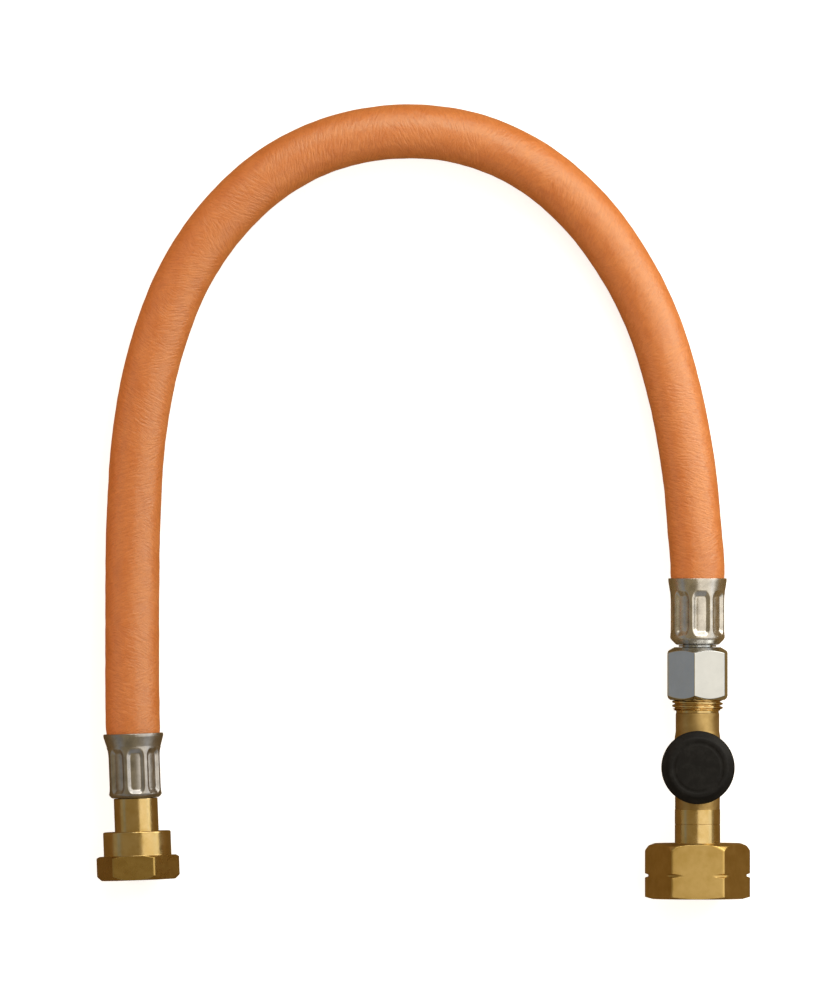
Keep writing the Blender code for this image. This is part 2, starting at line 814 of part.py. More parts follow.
def build_assembly():
    clear_scene()
    orange = make_material("hose_rubber", (0.72, 0.26, 0.07), 0.7, 0.0)
    steel = make_material("ferrule_steel", (0.45, 0.43, 0.40), 0.35, 1.0)
    brass = make_material("brass", (0.60, 0.42, 0.14), 0.35, 1.0)
    plated = make_material("plated_steel", (0.70, 0.70, 0.70), 0.2, 1.0)
    spring_steel = make_material("spring_steel", (0.50, 0.50, 0.50), 0.3, 1.0)
    black_rubber = make_material("black_rubber", (0.02, 0.02, 0.02), 0.7, 0.0)
    black_plastic = make_material("black_plastic", (0.02, 0.02, 0.022), 0.5, 0.0)
    bronze = make_material("sintered_bronze", (0.40, 0.27, 0.15), 0.8, 0.6)

    regulator = fitting_axis("regulator_axis", REGULATOR_MOUTH, REGULATOR_AXIS_HEIGHT,
                             REGULATOR_TILT)
    valve = fitting_axis("valve_axis", (VALVE_AXIS_X, VALVE_MOUTH_Y), VALVE_AXIS_HEIGHT, 0.0)
    button = button_axis("button_axis")
    bpy.context.view_layer.update()

    make_hose(orange)
    for side, axis in (("left", regulator), ("right", valve)):
        make_hose_tail(side, axis, orange)
        make_ferrule(side, axis, steel)

    make_stem_left(regulator, brass)
    make_regulator_seal(regulator, black_rubber)
    make_regulator_nut(regulator, brass)

    make_stem_right(valve, plated)
    make_union_seal(valve, black_rubber)
    make_union_nut(valve, plated)

    make_valve_body(valve, button, brass)
    make_valve_seat(valve, brass)
    make_poppet(valve, brass)
    make_poppet_seal(valve, black_rubber)
    make_poppet_spring(valve, spring_steel)
    make_poppet_guide(valve, brass)

    make_inlet_spigot(valve, brass)
    ring("spigot_o_ring", 73.8, 75.2, 4.85, 5.9, valve, black_rubber, SIDES_SMALL, 0.4)
    make_inlet_filter(valve, bronze)
    ring("cylinder_seal", 95.9, 98.6, 5.9, 9.2, valve, black_rubber)
    make_cylinder_nut(valve, brass)

    make_button_cap(button, black_plastic)
    make_button_stem(button, spring_steel)
    make_button_circlip(button, spring_steel)
    make_button_gland(button, brass)
    make_button_o_ring(button, black_rubber)
    make_button_spring(button, spring_steel)


build_assembly()
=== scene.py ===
"""Looks of the gas hose assembly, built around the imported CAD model.

Outlines are in millimetres along a fitting's own axis: (station, radius), with station 0 at the
mouth of its crimped ferrule. Meshes are in metres. Angle 0 points up and turns towards -X.
"""
import json
import math

import bmesh
import bpy
import numpy as np
from mathutils import Matrix, Vector


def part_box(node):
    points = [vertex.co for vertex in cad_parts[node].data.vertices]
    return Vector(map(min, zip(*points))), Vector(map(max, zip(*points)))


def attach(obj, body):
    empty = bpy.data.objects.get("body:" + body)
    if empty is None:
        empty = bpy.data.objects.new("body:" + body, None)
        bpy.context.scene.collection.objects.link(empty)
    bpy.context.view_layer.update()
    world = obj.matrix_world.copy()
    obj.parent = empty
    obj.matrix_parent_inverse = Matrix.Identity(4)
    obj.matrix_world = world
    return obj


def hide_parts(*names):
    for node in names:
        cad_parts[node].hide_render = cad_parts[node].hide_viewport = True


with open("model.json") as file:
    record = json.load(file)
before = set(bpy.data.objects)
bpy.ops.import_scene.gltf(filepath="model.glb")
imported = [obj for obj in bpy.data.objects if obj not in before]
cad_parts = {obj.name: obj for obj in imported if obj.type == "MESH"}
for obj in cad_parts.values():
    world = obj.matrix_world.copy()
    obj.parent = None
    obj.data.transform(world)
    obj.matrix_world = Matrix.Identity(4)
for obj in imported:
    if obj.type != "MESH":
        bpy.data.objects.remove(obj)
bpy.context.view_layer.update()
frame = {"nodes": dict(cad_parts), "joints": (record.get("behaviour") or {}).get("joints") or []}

MM = 0.001
GAP = 0.3

# Camera: straight above, long lens
CAMERA_TARGET = Vector((-0.0046, 0.0782, 0.012))
CAMERA_DISTANCE = 8.0
VIEW_HEIGHT = 0.3279

# Floor: a little below the lowest point, so that the two surfaces never coincide
FLOOR_HALF_SIZE = 6.0
FLOOR_DROP = 0.0002
FLOOR_GLOW = 0.72

# The hose
HOSE_RADIUS = 8.9
HOSE_ROUTE = [
    (0.08996, 0.0530, 0.0150),
    (0.08988, 0.0585, 0.0150),
    (0.08903, 0.0680, 0.0146),
    (0.08713, 0.0880, 0.0130),
    (0.08268, 0.1125, 0.0108),
    (0.07578, 0.1355, 0.0094),
    (0.06598, 0.1553, 0.0090),
    (0.05268, 0.1732, 0.0090),
    (0.03568, 0.1876, 0.0090),
    (0.01568, 0.1965, 0.0090),
    (-0.00632, 0.1991, 0.0090),
    (-0.02832, 0.1956, 0.0090),
    (-0.04852, 0.1859, 0.0090),
    (-0.06582, 0.1701, 0.0090),
    (-0.07912, 0.1499, 0.0090),
    (-0.08812, 0.1254, 0.0090),
    (-0.09302, 0.1000, 0.0090),
    (-0.09487, 0.0740, 0.0091),
    (-0.09532, 0.0500, 0.0098),
    (-0.09537, 0.0260, 0.0115),
    (-0.09524, 0.0076, 0.0127),
    (-0.09504, 0.0021, 0.01273),
]
HOSE_RING_SPACING = 0.0006
HOSE_COLUMNS = 120
HOSE_IN_FERRULE = 2.2

# Points around a turned piece
PLAIN_COLUMNS = 128
FERRULE_COLUMNS = 320
THREAD_COLUMNS = 160
CAP_COLUMNS = 192

# Radii on the fittings
FERRULE = {
    "left": {"rim": 9.85, "body": 8.75, "pressed": 7.8, "start": 7.0, "end": 17.9, "turn": -3.5, "curl": 1.1},
    "right": {"rim": 9.6, "body": 8.95, "pressed": 7.9, "start": 6.4, "end": 16.8, "turn": -8.0, "curl": 2.0},
}
FERRULE_MOUTH_BORE = 9.05
FERRULE_MOUTH_DEPTH = 2.5
FERRULE_BORE = 7.2
FERRULE_END_HOLE = 5.2
FERRULE_END_WALL = 1.3
JAW_COUNT = 8
JAW_HALF_WIDTH = 1.95
JAW_CORNER = 0.8
JAW_SLOPE = 1.05
STEM_START = 1.5
STEM_BORE = 1.8
STEM_BARREL = 3.0
STEM_WAIST = 4.85
STEM_SHOULDER = 6.2
REGULATOR_NECK = 7.2
REGULATOR_COLLAR = 11.1
REGULATOR_COLLAR_LENGTH = 8.0
REGULATOR_FLATS = 24.0
REGULATOR_TURN = 6.7
REGULATOR_EDGE_WEAR = 0.27
REGULATOR_UNDERCUT = 5.0
REGULATOR_THREAD = {"pitch": 1.5, "crest": 9.2, "depth": 0.85}
UNION_FLATS = 19.0
UNION_TURN = 35.5
UNION_THREAD = {"pitch": 1.337, "crest": 8.3, "depth": 0.85}
BODY_TUBE = 7.35
BODY_BAND = 7.45
BODY_BAND_LENGTH = 4.8
BODY_THREAD_LENGTH = 10.7
BODY_BORE = 5.0
BOSS_RADIUS = 9.6
POCKET_RADIUS = 6.2
POCKET_FLOOR = 7.4
PIN_HOLE_RADIUS = 3.0
FORGING_VOXEL = 0.3
BLEND_INSIDE = -0.4
BLEND_OUTSIDE = 2.4
BLEND_PASSES = 70
SPIGOT_RADIUS = 7.45
CYLINDER_FLATS = 30.0
CYLINDER_THREAD = {"pitch": 1.814, "crest": 9.75, "depth": 1.15}
CYLINDER_UNDERCUT = 5.2
NUT_BACK_WALL = 4.0
NOTCH_OFFSET = 10.6
NOTCH_FLOOR = 16.15
NOTCH_HALF_FLOOR = 0.3
NOTCH_HALF_MOUTH = 0.85
CAP_RADIUS = 12.0

# Thread flanks, as shares of half a pitch measured from the crest
FLANK_END = 0.88
FLANK_WIDTH = 0.56


# ---------------------------------------------------------------- where the fittings lie


def fitting_place(joint_name, ferrule):
    """Matrix of a fitting: origin at the ferrule's mouth, local Z away from the hose, local X up."""
    joint = next(j for j in frame["joints"] if j["name"] == joint_name)
    along = Vector(joint["axis"]).normalized()
    up = Vector((0.0, 0.0, 1.0))
    point = Vector(joint["pos_m"])
    corners = frame["nodes"][ferrule].data.vertices
    mouth = point + along * min((v.co - point).dot(along) for v in corners)
    turn = Matrix((up, along.cross(up), along)).transposed()
    return Matrix.Translation(mouth) @ turn.to_4x4()


def span(place, node):
    """First and last station of a CAD node along a fitting, in millimetres."""
    inverse = place.inverted()
    stations = [(inverse @ v.co).z / MM for v in frame["nodes"][node].data.vertices]
    return min(stations), max(stations)


REGULATOR = fitting_place("regulator_nut_spin", "ferrule_left")
VALVE = fitting_place("cylinder_nut_spin", "ferrule_right")
cap_low, cap_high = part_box("button_cap")
BUTTON = Matrix.Translation(
    ((cap_low.x + cap_high.x) / 2.0, (cap_low.y + cap_high.y) / 2.0, VALVE.translation.z)
)


# ---------------------------------------------------------------- camera, floor and light


def aim(thing, target):
    thing.rotation_euler = (target - thing.location).to_track_quat("-Z", "Y").to_euler()


def make_camera():
    data = bpy.data.cameras.new("camera")
    data.sensor_width = 36.0
    data.lens = data.sensor_width * CAMERA_DISTANCE / VIEW_HEIGHT
    data.clip_end = 50.0
    camera = bpy.data.objects.new("camera", data)
    camera.location = CAMERA_TARGET + Vector((0.0, 0.0, CAMERA_DISTANCE))
    bpy.context.collection.objects.link(camera)
    bpy.context.scene.camera = camera


def make_area_light(name, location, target, size, size_y, radiance, colour, mirrored=True):
    """One-sided rectangular softbox; radiance is what a mirror would show of it, if it is mirrored."""
    data = bpy.data.lights.new(name, "AREA")
    data.shape = "RECTANGLE"
    data.size = size
    data.size_y = size_y
    data.energy = radiance * math.pi * size * size_y
    data.color = colour
    light = bpy.data.objects.new(name, data)
    light.location = location
    light.visible_camera = False
    light.visible_glossy = mirrored
    aim(light, Vector(target))
    bpy.context.collection.objects.link(light)


def make_lights():
    make_area_light("key", (0.38, 0.35, 0.41), (0.047, 0.35, 0.037), 1.2, 0.75, 0.94, (1.0, 0.955, 0.87))
    make_area_light("side", (0.38, 0.26, 0.11), (0.09, 0.13, 0.01), 0.32, 0.18, 2.8, (1.0, 0.96, 0.84))
    make_area_light("back", (0.1, 1.0, 0.8), (0.0, 0.18, 0.0), 1.0, 0.6, 3.2, (1.0, 0.95, 0.84))
    make_area_light(
        "fill", (-0.6, 0.1, 0.25), (0.05, 0.12, 0.0), 0.6, 0.4, 1.5, (1.0, 0.62, 0.48), mirrored=False
    )


def make_world():
    """Soft warm studio with one cool band above the horizon, and pale where the camera sees it."""
    world = bpy.data.worlds.new("studio")
    world.use_nodes = True
    tree = world.node_tree
    tree.nodes.clear()
    direction = tree.nodes.new("ShaderNodeTexCoord")
    split = tree.nodes.new("ShaderNodeSeparateXYZ")
    around = tree.nodes.new("ShaderNodeValToRGB")
    bands = around.color_ramp.elements
    bands[0].position, bands[0].color = 0.30, (0.35, 0.30, 0.21, 1.0)
    bands[1].position, bands[1].color = 0.54, (0.31, 0.24, 0.13, 1.0)
    for height in (0.36, 0.47):
        bands.new(height).color = (0.27, 0.305, 0.36, 1.0)
    path = tree.nodes.new("ShaderNodeLightPath")
    seen = tree.nodes.new("ShaderNodeMix")
    seen.data_type = "RGBA"
    seen.inputs["B"].default_value = (0.93, 0.93, 0.92, 1.0)
    background = tree.nodes.new("ShaderNodeBackground")
    output = tree.nodes.new("ShaderNodeOutputWorld")
    tree.links.new(direction.outputs["Generated"], split.inputs["Vector"])
    tree.links.new(split.outputs["Z"], around.inputs["Fac"])
    tree.links.new(around.outputs["Color"], seen.inputs["A"])
    tree.links.new(path.outputs["Is Camera Ray"], seen.inputs["Factor"])
    tree.links.new(seen.outputs["Result"], background.inputs["Color"])
    tree.links.new(background.outputs["Background"], output.inputs["Surface"])
    bpy.context.scene.world = world


def make_floor():
    """Pale floor; light that bounces off it is kept low, as off a darker table."""
    mesh = bpy.data.meshes.new("floor")
    half = FLOOR_HALF_SIZE
    corners = [(-half, -half, 0.0), (half, -half, 0.0), (half, half, 0.0), (-half, half, 0.0)]
    mesh.from_pydata(corners, [], [(0, 1, 2, 3)])
    floor = bpy.data.objects.new("floor", mesh)
    floor.location.z = -FLOOR_DROP
    bpy.context.collection.objects.link(floor)
    material = bpy.data.materials.new("floor")
    material.use_nodes = True
    tree = material.node_tree
    tree.nodes.clear()
    path = tree.nodes.new("ShaderNodeLightPath")
    pale = tree.nodes.new("ShaderNodeBsdfDiffuse")
    pale.inputs["Color"].default_value = (0.9, 0.9, 0.9, 1.0)
    glow = tree.nodes.new("ShaderNodeEmission")
    glow.inputs["Strength"].default_value = FLOOR_GLOW
    seen = tree.nodes.new("ShaderNodeAddShader")
    dark = tree.nodes.new("ShaderNodeBsdfDiffuse")
    dark.inputs["Color"].default_value = (0.26, 0.18, 0.08, 1.0)
    mix = tree.nodes.new("ShaderNodeMixShader")
    output = tree.nodes.new("ShaderNodeOutputMaterial")
    tree.links.new(pale.outputs[0], seen.inputs[0])
    tree.links.new(glow.outputs[0], seen.inputs[1])
    tree.links.new(path.outputs["Is Camera Ray"], mix.inputs["Fac"])
    tree.links.new(dark.outputs[0], mix.inputs[1])
    tree.links.new(seen.outputs[0], mix.inputs[2])
    tree.links.new(mix.outputs[0], output.inputs["Surface"])
    mesh.materials.append(material)


# ---------------------------------------------------------------- materials


class Finish:
    """One Principled material, with short calls that add nodes to it."""

    def __init__(self, name, metallic, roughness, coordinates="Object"):
        self.material = bpy.data.materials.new(name)
        self.material.use_nodes = True
        self.tree = self.material.node_tree
        self.shader = self.tree.nodes["Principled BSDF"]
        self.shader.inputs["Metallic"].default_value = metallic
        self.shader.inputs["Roughness"].default_value = roughness
        if coordinates == "Object":
            self.place = self.add("ShaderNodeTexCoord").outputs["Object"]
        else:
            attribute = self.add("ShaderNodeAttribute")
            attribute.attribute_name = coordinates
            self.place = attribute.outputs["Vector"]

    def add(self, kind, **inputs):
        node = self.tree.nodes.new(kind)
        for name, value in inputs.items():
            self.feed(node.inputs[name.replace("_", " ")], value)
        return node

    def feed(self, socket, value):
        if isinstance(value, bpy.types.NodeSocket):
            self.tree.links.new(value, socket)
        else:
            socket.default_value = value

    def stretched(self, x, y, z):
        mapping = self.add("ShaderNodeMapping", Vector=self.place)
        mapping.inputs["Scale"].default_value = (x, y, z)
        return mapping.outputs["Vector"]

    def noise(self, scale, detail=3.0, place=None, roughness=0.5):
        node = self.add("ShaderNodeTexNoise", Scale=scale, Detail=detail, Roughness=roughness)
        self.feed(node.inputs["Vector"], place or self.place)
        return node.outputs["Fac"]

    def ramp(self, value, low, high, to_low, to_high):
        node = self.add("ShaderNodeMapRange", Value=value)
        for name, number in (("From Min", low), ("From Max", high), ("To Min", to_low), ("To Max", to_high)):
            node.inputs[name].default_value = number
        return node.outputs["Result"]

    def math(self, operation, first, second):
        node = self.tree.nodes.new("ShaderNodeMath")
        node.operation = operation
        self.feed(node.inputs[0], first)
        self.feed(node.inputs[1], second)
        return node.outputs[0]

    def blend(self, share, first, second):
        node = self.tree.nodes.new("ShaderNodeMix")
        node.data_type = "RGBA"
        self.feed(node.inputs["Factor"], share)
        self.feed(node.inputs["A"], first)
        self.feed(node.inputs["B"], second)
        return node.outputs["Result"]

    def colour(self, value):
        self.feed(self.shader.inputs["Base Color"], value)

    def roughness(self, value):
        self.feed(self.shader.inputs["Roughness"], value)

    def bump(self, height, distance, strength=1.0):
        """Adds one more layer of bump on top of any earlier one."""
        node = self.add("ShaderNodeBump", Height=height, Distance=distance, Strength=strength)
        earlier = self.shader.inputs["Normal"]
        if earlier.is_linked:
            self.tree.links.new(earlier.links[0].from_socket, node.inputs["Normal"])
        self.tree.links.new(node.outputs["Normal"], earlier)


def brass_finish(name, light, dark, low, high, lines):
    """Machined brass: faint tarnish, and fine tool lines around the turning axis."""
    finish = Finish(name, 1.0, 0.3)
    tarnish = finish.noise(170.0, 5.0, roughness=0.6)
    finish.colour(finish.blend(finish.ramp(tarnish, 0.38, 0.68, 0.0, 1.0), (*light, 1), (*dark, 1)))
    smudge = finish.noise(420.0, 3.0)
    finish.roughness(finish.ramp(smudge, 0.3, 0.7, low, high))
    tool_lines = finish.noise(1.0, 2.0, finish.stretched(60.0, 60.0, lines))
    finish.bump(tool_lines, 0.00001, 0.6)
    finish.bump(finish.noise(2600.0, 2.0), 0.000008, 0.5)
    return finish.material


def steel_finish(name, light, dark, low, high, grain):
    """Bright or satin steel with faint stains and drawing lines along the axis."""
    finish = Finish(name, 1.0, 0.3)
    stain = finish.noise(grain, 5.0, roughness=0.65)
    finish.colour(finish.blend(finish.ramp(stain, 0.36, 0.66, 0.0, 1.0), (*light, 1), (*dark, 1)))
    finish.roughness(finish.ramp(finish.noise(3.0 * grain, 3.0), 0.3, 0.7, low, high))
    scratches = finish.noise(1.0, 2.0, finish.stretched(5200.0, 5200.0, 240.0))
    finish.bump(scratches, 0.000004, 0.4)
    finish.bump(finish.noise(900.0, 2.0), 0.00001, 0.3)
    return finish.material


def hose_finish():
    """Orange rubber with the imprint of the cloth it was cured in; the imprint's grooves carry painted shade.
    """
    finish = Finish("hose_rubber", 0.0, 0.32, "straight")
    patches = finish.noise(150.0, 4.0, roughness=0.6)
    patch_share = finish.ramp(patches, 0.34, 0.68, 0.0, 1.0)
    orange = finish.blend(patch_share, (0.69, 0.180, 0.028, 1), (0.76, 0.226, 0.044, 1))
    specks = finish.noise(1900.0, 3.0)
    speckled = finish.blend(finish.ramp(specks, 0.56, 0.76, 0.0, 0.5), orange, (0.50, 0.11, 0.015, 1))
    split = finish.add("ShaderNodeSeparateXYZ", Vector=finish.place)
    station = split.outputs["X"]
    angle = finish.math("ARCTAN2", split.outputs["Z"], split.outputs["Y"])
    around = finish.math("MULTIPLY", angle, HOSE_RADIUS * MM)
    wander = finish.ramp(finish.noise(70.0, 2.0), 0.3, 0.7, -0.0007, 0.0007)
    wandering = finish.math("ADD", station, wander)
    streaks = []
    for slope in (0.42, -0.34):
        sheared = finish.math("ADD", finish.math("MULTIPLY", around, slope), wandering)
        lengthwise = finish.add("ShaderNodeCombineXYZ", X=sheared, Y=finish.math("MULTIPLY", around, 0.24))
        streaks.append(finish.noise(1250.0, 3.0, lengthwise.outputs["Vector"], 0.6))
    side = finish.ramp(finish.noise(55.0, 2.0), 0.46, 0.54, 0.0, 1.0)
    weave = finish.blend(side, *streaks)
    # Darker where the weave is low: painted shade in the grooves of the cloth imprint.
    finish.colour(finish.blend(finish.ramp(weave, 0.36, 0.60, 0.32, 0.0), speckled, (0.50, 0.10, 0.011, 1)))
    finish.roughness(finish.ramp(patches, 0.3, 0.7, 0.44, 0.56))
    finish.bump(finish.ramp(weave, 0.3, 0.7, 0.0, 1.0), 0.00013, 0.9)
    finish.bump(finish.noise(1500.0, 3.0), 0.00007, 0.5)
    finish.shader.inputs["Specular IOR Level"].default_value = 1.0
    finish.shader.inputs["Specular Tint"].default_value = (0.7, 1.0, 0.85, 1.0)
    finish.shader.inputs["IOR"].default_value = 1.65
    finish.shader.inputs["Sheen Weight"].default_value = 0.12
    finish.shader.inputs["Sheen Roughness"].default_value = 0.5
    finish.shader.inputs["Sheen Tint"].default_value = (1.0, 0.85, 0.45, 1.0)
    return finish.material


def rubber_finish(name, tone, roughness, grain):
    """Black rubber or moulded plastic with a fine grain and a little dust."""
    finish = Finish(name, 0.0, roughness)
    finish.shader.inputs["Specular IOR Level"].default_value = 0.18
    dust = finish.noise(260.0, 5.0, roughness=0.7)
    dark = (tone, tone, 1.06 * tone, 1.0)
    grey = (3.0 * tone, 3.0 * tone, 3.0 * tone, 1.0)
    finish.colour(finish.blend(finish.ramp(dust, 0.45, 0.8, 0.0, 1.0), dark, grey))
    finish.roughness(finish.ramp(dust, 0.3, 0.7, roughness - 0.06, roughness + 0.08))
    finish.bump(finish.noise(grain, 2.0), 0.00005, 0.8)
    return finish.material


def bronze_finish():
    """Sintered bronze: tight grains, with painted shade in the pores between them."""
    finish = Finish("sintered_bronze", 0.8, 0.6)
    grains = finish.add("ShaderNodeTexVoronoi", Scale=3200.0, Vector=finish.place).outputs["Distance"]
    pore_shade_share = finish.ramp(grains, 0.1, 0.6, 0.0, 1.0)
    # Darker towards the gaps between grains: painted shade in the pores.
    finish.colour(finish.blend(pore_shade_share, (0.46, 0.31, 0.16, 1), (0.10, 0.06, 0.03, 1)))
    finish.bump(finish.ramp(grains, 0.0, 1.0, 1.0, 0.0), 0.0001)
    return finish.material


TURNED_BRASS = brass_finish("turned_brass", (0.68, 0.52, 0.26), (0.58, 0.41, 0.15), 0.17, 0.26, 9000.0)
MILLED_BRASS = brass_finish("milled_brass", (0.66, 0.47, 0.18), (0.56, 0.38, 0.12), 0.28, 0.38, 2500.0)
FORGED_BRASS = brass_finish("forged_brass", (0.56, 0.40, 0.17), (0.42, 0.28, 0.10), 0.42, 0.56, 400.0)
# Darker brass for the regulator nut's hexagon: painted shade on its faces.
SHADED_HEX_BRASS = brass_finish("shaded_hex_brass", (0.55, 0.39, 0.14), (0.45, 0.30, 0.09), 0.24, 0.34, 2500.0)
# The left ferrule's steel is darker than the right's: painted shade on the ferrule that stands away from the
# key light.
FERRULE_STEEL = {
    "left": steel_finish("shaded_left_ferrule_steel", (0.52, 0.51, 0.51), (0.34, 0.335, 0.335), 0.28, 0.38, 260.0),
    "right": steel_finish("ferrule_steel", (0.70, 0.68, 0.65), (0.47, 0.455, 0.435), 0.24, 0.32, 260.0),
}
PLATED_STEEL = steel_finish("plated_steel", (0.63, 0.66, 0.69), (0.58, 0.61, 0.64), 0.12, 0.18, 140.0)
SPRING_STEEL = steel_finish("spring_steel", (0.46, 0.46, 0.46), (0.34, 0.34, 0.34), 0.25, 0.35, 500.0)
HOSE_RUBBER = hose_finish()
BLACK_RUBBER = rubber_finish("black_rubber", 0.012, 0.6, 2400.0)
BLACK_PLASTIC = rubber_finish("black_plastic", 0.006, 0.5, 1600.0)
SINTERED_BRONZE = bronze_finish()


# ---------------------------------------------------------------- mesh tools


def skin(name, rings, place, material, closed=True):
    """Piece whose surface runs through rings of points (rings, columns, 3) in metres."""
    rings = np.asarray(rings, float)
    count, columns = rings.shape[:2]
    first = np.arange(count if closed else count - 1)
    column = np.arange(columns)
    a, c = np.meshgrid(first, column, indexing="ij")
    b = (a + 1) % count
    d = (c + 1) % columns
    faces = np.stack([a * columns + c, a * columns + d, b * columns + d, b * columns + c], -1)
    faces = [tuple(face) for face in faces.reshape(-1, 4).tolist()]
    if not closed:
        faces.append(tuple(range(columns - 1, -1, -1)))
        faces.append(tuple(range((count - 1) * columns, count * columns)))
    mesh = bpy.data.meshes.new(name)
    mesh.from_pydata(rings.reshape(-1, 3).tolist(), [], faces)
    return add_piece(name, mesh, place, material)


def add_piece(name, mesh, place, material):
    """Merges coinciding points, turns the faces outwards and shades the mesh smoothly."""
    shape = bmesh.new()
    shape.from_mesh(mesh)
    bmesh.ops.remove_doubles(shape, verts=shape.verts, dist=1e-7)
    bmesh.ops.recalc_face_normals(shape, faces=shape.faces)
    shape.to_mesh(mesh)
    shape.free()
    mesh.shade_smooth()
    mesh.set_sharp_from_angle(angle=math.radians(32))
    mesh.materials.append(material)
    piece = bpy.data.objects.new(name, mesh)
    piece.matrix_world = place
    bpy.context.collection.objects.link(piece)
    return piece


def rounded(corners, fillet=0.25, steps=4):
    """Closed outline with each corner rounded; a corner may give its own fillet as a third number."""
    points = []
    count = len(corners)
    for index, corner in enumerate(corners):
        here = np.array(corner[:2], float)
        before = np.array(corners[index - 1][:2], float)
        after = np.array(corners[(index + 1) % count][:2], float)
        radius = corner[2] if len(corner) > 2 else fillet
        points += corner_arc(before, here, after, radius, steps)
    return points


def corner_arc(before, here, after, radius, steps):
    """Points that round one corner; short neighbours make the arc smaller."""
    into, out = before - here, after - here
    into_length, out_length = np.linalg.norm(into), np.linalg.norm(out)
    if radius <= 0.0 or here[1] == 0.0 or min(into_length, out_length) < 1e-9:
        return [tuple(here)]
    into, out = into / into_length, out / out_length
    half = math.acos(max(-1.0, min(1.0, float(into @ out)))) / 2.0
    if half > math.radians(88):
        return [tuple(here)]
    reach = min(radius / math.tan(half), 0.45 * into_length, 0.45 * out_length)
    start, end = here + into * reach, here + out * reach
    points = []
    for step in range(steps + 1):
        t = step / steps
        points.append(tuple((1 - t) ** 2 * start + 2 * t * (1 - t) * here + t ** 2 * end))
    return points


def refined(outline, low, high, step):
    """The outline with more points where it runs between two stations."""
    points = []
    for index, point in enumerate(outline):
        after = outline[(index + 1) % len(outline)]
        points.append(point)
        inside = min(point[0], after[0]) >= low - 1e-6 and max(point[0], after[0]) <= high + 1e-6
        length = math.hypot(after[0] - point[0], after[1] - point[1])
        if inside and length > step and min(point[1], after[1]) > 0.0:
            cuts = math.ceil(length / step)
            for cut in range(1, cuts):
                share = cut / cuts
                station = point[0] + (after[0] - point[0]) * share
                radius = point[1] + (after[1] - point[1]) * share
                points.append((station, radius))
    return points


def even_angles(columns):
    return np.arange(columns) * 2.0 * math.pi / columns


def hexagon_angles(turn, per_face=26):
    """Angles around a hexagon, closer together near its corners."""
    angles = []
    for face in range(6):
        for step in range(per_face):
            share = -1.0 + 2.0 * step / per_face
            angles.append(math.radians(turn + 60.0 * face + 30.0 * math.sin(share * math.pi / 2.0)))
    return np.array(angles)


def turned(name, outline, place, material, angles=None, relief=None):
    """Piece turned about local Z; relief may change the radii of one station."""
    if angles is None:
        angles = even_angles(PLAIN_COLUMNS)
    rings = []
    for station, radius in outline:
        radii = np.full(len(angles), float(radius))
        if relief is not None:
            radii = relief(station, radii, angles)
        ring = [radii * np.cos(angles), radii * np.sin(angles), np.full(len(angles), station)]
        rings.append(np.stack(ring, -1) * MM)
    return skin(name, rings, place, material)


def smooth_minimum(first, second, softness):
    return -softness * np.logaddexp(-first / softness, -second / softness)


def smooth_maximum(first, second, softness):
    return softness * np.logaddexp(first / softness, second / softness)


def hexagon_corner(flats):
    """Radius to a sharp corner of a hexagon."""
    return flats / 2.0 / math.cos(math.pi / 6.0)


def hexagon_radius(angles, flats, turn, softness):
    """Radius of a hexagon with slightly rounded corners at each angle."""
    offset = (np.degrees(angles) - turn + 30.0) % 60.0 - 30.0
    here = flats / 2.0 / np.cos(np.radians(offset))
    neighbour = flats / 2.0 / np.cos(np.radians(60.0 - np.abs(offset)))
    return smooth_minimum(here, neighbour, softness)


def hexagon_relief(flats, turn, thread=None, softness=0.12):
    """Relief that cuts a turned outline down to a hexagon and threads its bore."""
    def relief(station, radii, angles):
        cut = smooth_minimum(radii, hexagon_radius(angles, flats, turn, softness), 0.08)
        if thread is not None:
            cut = cut + thread(station, radii, angles)
        return cut
    return relief


def thread_wave(station, angles, pitch, hand):
    """Height of a thread's flank from 0 at its root to 1 at its crest."""
    phase = (station / pitch - hand * angles / (2.0 * math.pi)) % 1.0
    from_crest = np.abs(phase - 0.5) * 2.0
    share = np.clip((FLANK_END - from_crest) / FLANK_WIDTH, 0.0, 1.0)
    return share * share * (3.0 - 2.0 * share)


def inner_thread(spec, start, end, hand):
    """Thread cut outwards into a bore of the crest radius between two stations."""
    def cut(station, radii, angles):
        on_bore = np.abs(radii - spec["crest"]) < 0.02
        fade = np.clip(min(station - start, end - station) / (0.5 * spec["pitch"]), 0.0, 1.0)
        height = thread_wave(station, angles, spec["pitch"], hand)
        return np.where(on_bore, spec["depth"] * fade * (1.0 - height), 0.0)
    return cut


# ---------------------------------------------------------------- hose


def smooth_route(points, spacing):
    """Evenly spaced points on a Catmull-Rom curve through the route."""
    route = [Vector(point) for point in points]
    padded = [2.0 * route[0] - route[1]] + route + [2.0 * route[-1] - route[-2]]
    dense = []
    for before, start, end, after in zip(padded, padded[1:], padded[2:], padded[3:]):
        for step in range(40):
            t = step / 40.0
            dense.append(
                0.5 * (2.0 * start + (end - before) * t
                       + (2.0 * before - 5.0 * start + 4.0 * end - after) * t ** 2
                       + (3.0 * start - 3.0 * end + after - before) * t ** 3)
            )
    dense = np.array(dense + [route[-1]])
    travelled = np.concatenate([[0.0], np.cumsum(np.linalg.norm(np.diff(dense, axis=0), axis=1))])
    goals = np.linspace(0.0, travelled[-1], round(travelled[-1] / spacing) + 1)
    return np.stack([np.interp(goals, travelled, dense[:, axis]) for axis in range(3)], -1)


